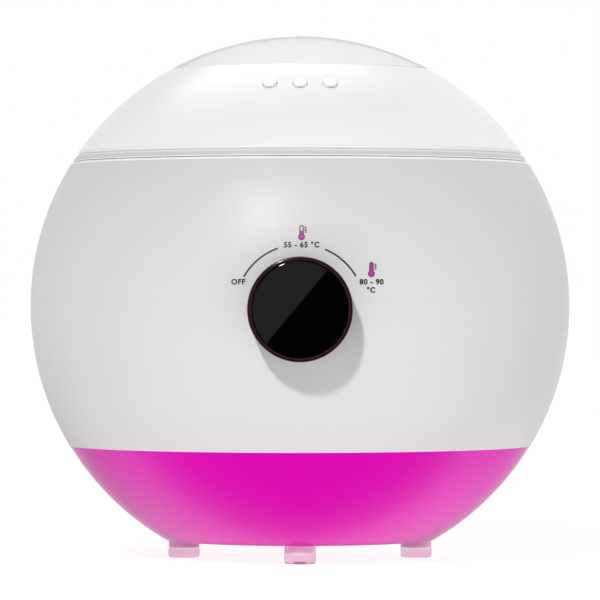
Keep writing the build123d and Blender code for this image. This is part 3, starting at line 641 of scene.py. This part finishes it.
def print_magenta():
    """Magenta pad print."""
    return finish(
        "print_magenta", GRAIN, light=colour(0.58, 0.025, 0.34), dark=colour(0.52, 0.02, 0.30),
        scale=2400.0, smooth=0.42, rough=0.56, bump=0.04, bump_depth=0.01 * MM,
    )


FINISHES = {
    white_housing: "housing",
    white_lid: "lid_shell",
    painted_shade_band: "lid_band",
    white_inside: "lid_neck inner_collar window_ring",
    magenta_base: "base_shell",
    magenta_sleeve: "knob_sleeve",
    frosted_window: "lid_window",
    gloss_pip: "lid_pips",
    foot_rubber: "foot_front foot_right foot_rear foot_left",
    black_gloss: "knob_cap",
    black_moulding: "knob_core power_inlet",
    spun_aluminium: "heating_well wax_pot tie_pillars heat_shield",
    zinc_steel: (
        "base_screws collar_screws window_ring_screws inlet_screws hinge_pin heater_clamp heater_band "
        "thermostat_plate thermostat_nut thermostat_shaft knob_clip fuse_clip"
    ),
    bare_brass: "inlet_pins",
    pale_silicone: "lid_gasket window_gasket",
    grip_silicone: "pot_grips",
    glass_fibre: "insulation_sleeve",
    dark_phenolic: "thermostat_body thermal_fuse",
    wire_brown: "wire_live wire_switched wire_fused",
    wire_blue: "wire_neutral",
}


def dress_nodes():
    """Gives every CAD node its finish."""
    for maker, names in FINISHES.items():
        material = maker()
        for name in names.split():
            for slot in nodes[name].material_slots:
                slot.material = material


# Print on the front of the housing


def on_ball(across, height, lift):
    """Point on the front of the ball, by its place seen from the front."""
    rise = height - BALL_CENTRE.z
    front = -math.sqrt(BALL_RADIUS**2 - across**2 - rise**2)
    direction = Vector((across, front, rise)) / BALL_RADIUS
    return BALL_CENTRE + direction * (BALL_RADIUS + lift)


def new_piece(name, mesh, material):
    """Object of the housing's print that moves with the body."""
    mesh.materials.append(material)
    piece = bpy.data.objects.new(name, mesh)
    bpy.context.collection.objects.link(piece)
    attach(piece, "body")


def film(name, strips, material):
    """Thin closed film on the ball, from strips of paired edge points given as (across, height)."""
    build = bmesh.new()
    for left, right, closed in strips:
        rows = []
        for near, far in zip(left, right):
            low = [on_ball(*near, -PRINT_SINK), on_ball(*far, -PRINT_SINK)]
            high = [on_ball(*far, PRINT_RISE), on_ball(*near, PRINT_RISE)]
            rows.append([build.verts.new(corner) for corner in low + high])
        following = rows[1:] + rows[:1] if closed else rows[1:]
        for here, there in zip(rows, following):
            for side in range(4):
                after = (side + 1) % 4
                build.faces.new((here[side], here[after], there[after], there[side]))
        if not closed:
            build.faces.new(rows[0])
            build.faces.new(rows[-1][::-1])
    bmesh.ops.recalc_face_normals(build, faces=build.faces)
    mesh = bpy.data.meshes.new(name)
    build.to_mesh(mesh)
    build.free()
    new_piece(name, mesh, material)


def dial_arc(name, span, material):
    """Arc of the dial about the knob, by its angles from straight up."""
    first, last = (math.radians(angle) for angle in span)
    angles = [first + (last - first) * step / DIAL_STEPS for step in range(DIAL_STEPS + 1)]
    edges = []
    for radius in (DIAL_RADIUS - DIAL_STROKE / 2, DIAL_RADIUS + DIAL_STROKE / 2):
        edges.append([(radius * math.sin(a), KNOB_HEIGHT + radius * math.cos(a)) for a in angles])
    film(name, [(*edges, False)], material)


def label(name, words, place, material):
    """Line of figures laid on the ball."""
    font = bpy.data.curves.new(name, "FONT")
    font.body = words
    font.size = LABEL_SIZE
    font.align_x = "CENTER"
    font.align_y = "CENTER"
    font.extrude = PRINT_RISE
    font.offset = LABEL_WEIGHT
    font.space_character = LABEL_SPACING
    font.resolution_u = LABEL_STEPS
    flat = bpy.data.objects.new(name, font)
    mesh = bpy.data.meshes.new_from_object(flat)
    bpy.data.objects.remove(flat)
    for vertex in mesh.vertices:
        x, z, lift = vertex.co
        vertex.co = on_ball(place[0] + x, place[1] + z, lift)
    new_piece(name, mesh, material)


def thermometer_side(length, inset):
    """Right side of a thermometer about its bulb's centre, from bottom to top, drawn in by an inset."""
    bulb = MARK_BULB - inset
    tube = MARK_TUBE - inset
    opening = math.asin(tube / bulb)
    points = []
    for step in range(MARK_STEPS + 1):
        angle = math.pi - (math.pi - opening) * step / MARK_STEPS
        points.append((bulb * math.sin(angle), bulb * math.cos(angle)))
    for step in range(MARK_STEPS + 1):
        angle = math.pi / 2 * step / MARK_STEPS
        points.append((tube * math.cos(angle), length + tube * math.sin(angle)))
    return points


def mirrored(points):
    """Points swapped left for right."""
    return [(-x, z) for x, z in points]


def moved(points, place):
    """Points shifted to a place on the dial."""
    return [(x + place[0], z + place[1]) for x, z in points]


def thermometer_line(inset):
    """Closed outline of a thermometer, up its right side and down its left."""
    side = thermometer_side(MARK_LENGTH, inset)
    return side + mirrored(side[-2:0:-1])


def thermometer_ticks():
    """Short scale lines at the right of a thermometer, as strips."""
    start = MARK_TUBE + MARK_LINE
    strips = []
    for index in range(MARK_TICKS):
        level = MARK_LENGTH - index * MARK_TICK_PITCH
        edges = []
        for z in (level - MARK_LINE / 2, level + MARK_LINE / 2):
            edges.append([(start, z), (start + MARK_TICK, z)])
        strips.append((*edges, False))
    return strips


def thermometer(name, place, full_share, line, fill):
    """Small thermometer: a black outline with ticks, and a magenta column."""
    strips = [(thermometer_line(0), thermometer_line(MARK_LINE), True)] + thermometer_ticks()
    strips = [(moved(left, place), moved(right, place), closed) for left, right, closed in strips]
    film(f"{name}_outline", strips, line)
    column = thermometer_side(MARK_LENGTH * full_share, MARK_LINE)[1:-1]
    column_edges = (moved(mirrored(column), place), moved(column, place))
    film(f"{name}_column", [(*column_edges, False)], fill)


def print_dial():
    """Arcs, figures and thermometers round the knob."""
    line = print_black()
    fill = print_magenta()
    dial_arc("dial_arc_left", DIAL_LEFT_SPAN, line)
    dial_arc("dial_arc_right", DIAL_RIGHT_SPAN, line)
    label("dial_off", "OFF", OFF_PLACE, line)
    label("dial_low_figures", "55 - 65 °C", LOW_FIGURES_PLACE, line)
    label("dial_high_figures", "80 - 90", HIGH_FIGURES_PLACE, line)
    label("dial_high_unit", "°C", HIGH_UNIT_PLACE, line)
    thermometer("dial_low_mark", LOW_MARK_PLACE, LOW_MARK_SHARE, line, fill)
    thermometer("dial_high_mark", HIGH_MARK_PLACE, HIGH_MARK_SHARE, line, fill)


# Camera, floor and light


def aim(thing, place, target):
    """Puts a camera or lamp at a place, looking at a target."""
    thing.location = place
    thing.rotation_euler = (target - place).to_track_quat("-Z", "Y").to_euler()


def make_camera():
    """Camera at the photograph's viewpoint."""
    lens = bpy.data.cameras.new("photo_camera")
    lens.lens = CAMERA_LENS
    lens.sensor_width = CAMERA_SENSOR
    camera = bpy.data.objects.new("photo_camera", lens)
    bpy.context.collection.objects.link(camera)
    aim(camera, CAMERA_PLACE, CAMERA_TARGET)
    bpy.context.scene.camera = camera


def make_lamp(name, kind, towards, strength):
    """Stands a lamp in a direction from the ball."""
    lamp = bpy.data.lights.new(name, kind)
    lamp.energy = strength
    holder = bpy.data.objects.new(name, lamp)
    bpy.context.collection.objects.link(holder)
    aim(holder, BALL_CENTRE + towards.normalized() * LAMP_DISTANCE, BALL_CENTRE)
    return holder


def make_lamps():
    """Key light from the upper left, as even as a far window, and soft lights at the right and behind."""
    key = make_lamp("key_light", "SUN", KEY_TOWARDS, KEY_STRENGTH)
    key.data.angle = KEY_SPREAD
    side = make_lamp("side_light", "AREA", SIDE_TOWARDS, SIDE_POWER)
    back = make_lamp("back_light", "AREA", BACK_TOWARDS, BACK_POWER)
    for soft in (side, back):
        soft.data.size = LAMP_SIZE
        soft.visible_glossy = False


def seen_ray(tree):
    """1 for a ray from the camera, straight or through something clear."""
    path = tree.nodes.new("ShaderNodeLightPath")
    return reckon(tree, "MAXIMUM", path.outputs["Is Camera Ray"], path.outputs["Is Transmission Ray"])


def glowing_matt(tree, shade, strength):
    """Matt shader with a white glow added."""
    both = tree.nodes.new("ShaderNodeAddShader")
    matt = add(tree, "ShaderNodeBsdfDiffuse", Color=shade)
    glow = add(tree, "ShaderNodeEmission", Color=grey(1), Strength=strength)
    join(tree, matt.outputs[0], both.inputs[0])
    join(tree, glow.outputs[0], both.inputs[1])
    return both.outputs[0]


def choose(tree, factor, first, second):
    """The second shader where the factor is 1, otherwise the first."""
    node = tree.nodes.new("ShaderNodeMixShader")
    join(tree, factor, node.inputs[0])
    join(tree, first, node.inputs[1])
    join(tree, second, node.inputs[2])
    return node.outputs[0]


def floor_material():
    """White floor that looks white to the camera and keeps a faint shadow."""
    material = bpy.data.materials.new("white_floor")
    material.use_nodes = True
    tree = material.node_tree
    tree.nodes.remove(tree.nodes["Principled BSDF"])
    front = step_up(tree, parts_of(tree, place_of(tree))[1], *FLOOR_GLOW_EDGES)
    glow = spread(tree, front, FLOOR_BACK_GLOW, FLOOR_FRONT_GLOW)
    lighting = glowing_matt(tree, FLOOR_COLOUR, glow)
    seen = glowing_matt(tree, SEEN_FLOOR_COLOUR, SEEN_FLOOR_GLOW)
    looks = choose(tree, seen_ray(tree), lighting, seen)
    join(tree, looks, tree.nodes["Material Output"].inputs["Surface"])
    return material


def make_floor():
    """Large pale floor just under the feet."""
    build = bmesh.new()
    bmesh.ops.create_grid(build, x_segments=2, y_segments=2, size=FLOOR_SIZE / 2)
    mesh = bpy.data.meshes.new("floor")
    build.to_mesh(mesh)
    build.free()
    mesh.materials.append(floor_material())
    floor = bpy.data.objects.new("floor", mesh)
    floor.location = (0, 0, -FLOOR_DROP)
    floor.visible_glossy = False
    bpy.context.collection.objects.link(floor)


def ray_in(tree):
    """Direction of a ray that leaves the scene."""
    return tree.nodes.new("ShaderNodeTexCoord").outputs["Generated"]


def facing(tree, towards):
    """Cosine between a ray and a direction."""
    node = tree.nodes.new("ShaderNodeVectorMath")
    node.operation = "DOT_PRODUCT"
    join(tree, ray_in(tree), node.inputs[0])
    node.inputs[1].default_value = towards.normalized()
    return node.outputs["Value"]


def scaled(tree, value, strength):
    """A value times a strength."""
    return reckon(tree, "MULTIPLY", value, strength)


def surround_light(tree, x, y, z):
    """Dark in front, pale round the sides and behind, white below."""
    side = scaled(tree, reckon(tree, "ABSOLUTE", x), STUDIO_SIDE_SHARE)
    edges = {"From_Min": STUDIO_DARK_EDGE, "From_Max": STUDIO_WHITE_EDGE}
    reach = add(tree, "ShaderNodeMapRange", Value=reckon(tree, "ADD", y, side), **edges)
    behind = scaled(tree, step_up(tree, z, *STUDIO_BEHIND_EDGES), STUDIO_BEHIND - STUDIO_HORIZON)
    below = scaled(tree, step_up(tree, z, *STUDIO_BELOW_EDGES), STUDIO_BELOW - STUDIO_HORIZON)
    level = reckon(tree, "ADD", reckon(tree, "ADD", behind, below), STUDIO_HORIZON)
    return reckon(tree, "MULTIPLY", reckon(tree, "POWER", reach.outputs[0], STUDIO_FALL), level)


def card_light(tree, x, y, z):
    """Grey card beside the lens, with a slanting edge."""
    left = scaled(tree, x, -math.sin(CARD_TILT))
    up = scaled(tree, z, math.cos(CARD_TILT))
    on_card = step_up(tree, reckon(tree, "ADD", left, up), -CARD_SOFTNESS, CARD_SOFTNESS)
    ahead = step_up(tree, y, *CARD_AHEAD_EDGES)
    return scaled(tree, reckon(tree, "MULTIPLY", on_card, ahead), CARD_LIGHT)


def studio_light(tree):
    """What gloss shows: the room, a card beside the lens and a soft box overhead."""
    direction = parts_of(tree, ray_in(tree))
    room = reckon(tree, "ADD", surround_light(tree, *direction), card_light(tree, *direction))
    overhead = step_up(tree, facing(tree, OVERHEAD_TOWARDS), *OVERHEAD_EDGES)
    return reckon(tree, "ADD", room, scaled(tree, overhead, OVERHEAD_LIGHT))


def fill_light(tree):
    """Soft fill from above and behind."""
    return scaled(tree, reckon(tree, "MAXIMUM", facing(tree, FILL_TOWARDS), 0.0), FILL_STRENGTH)


def make_world():
    """White behind the warmer, a soft fill on it, and the studio in its gloss."""
    world = bpy.data.worlds.new("studio")
    bpy.context.scene.world = world
    world.use_nodes = True
    tree = world.node_tree
    tree.nodes.clear()
    lights = []
    for strength in (fill_light(tree), studio_light(tree), 1.0):
        lights.append(add(tree, "ShaderNodeBackground", Color=grey(1), Strength=strength).outputs[0])
    fill, gloss, backdrop = lights
    glossy_ray = tree.nodes.new("ShaderNodeLightPath").outputs["Is Glossy Ray"]
    lighting = choose(tree, glossy_ray, fill, gloss)
    result = tree.nodes.new("ShaderNodeOutputWorld")
    join(tree, choose(tree, seen_ray(tree), lighting, backdrop), result.inputs["Surface"])


make_camera()
make_floor()
make_world()
make_lamps()
dress_nodes()
print_dial()
bpy.context.scene.view_settings.view_transform = "Standard"
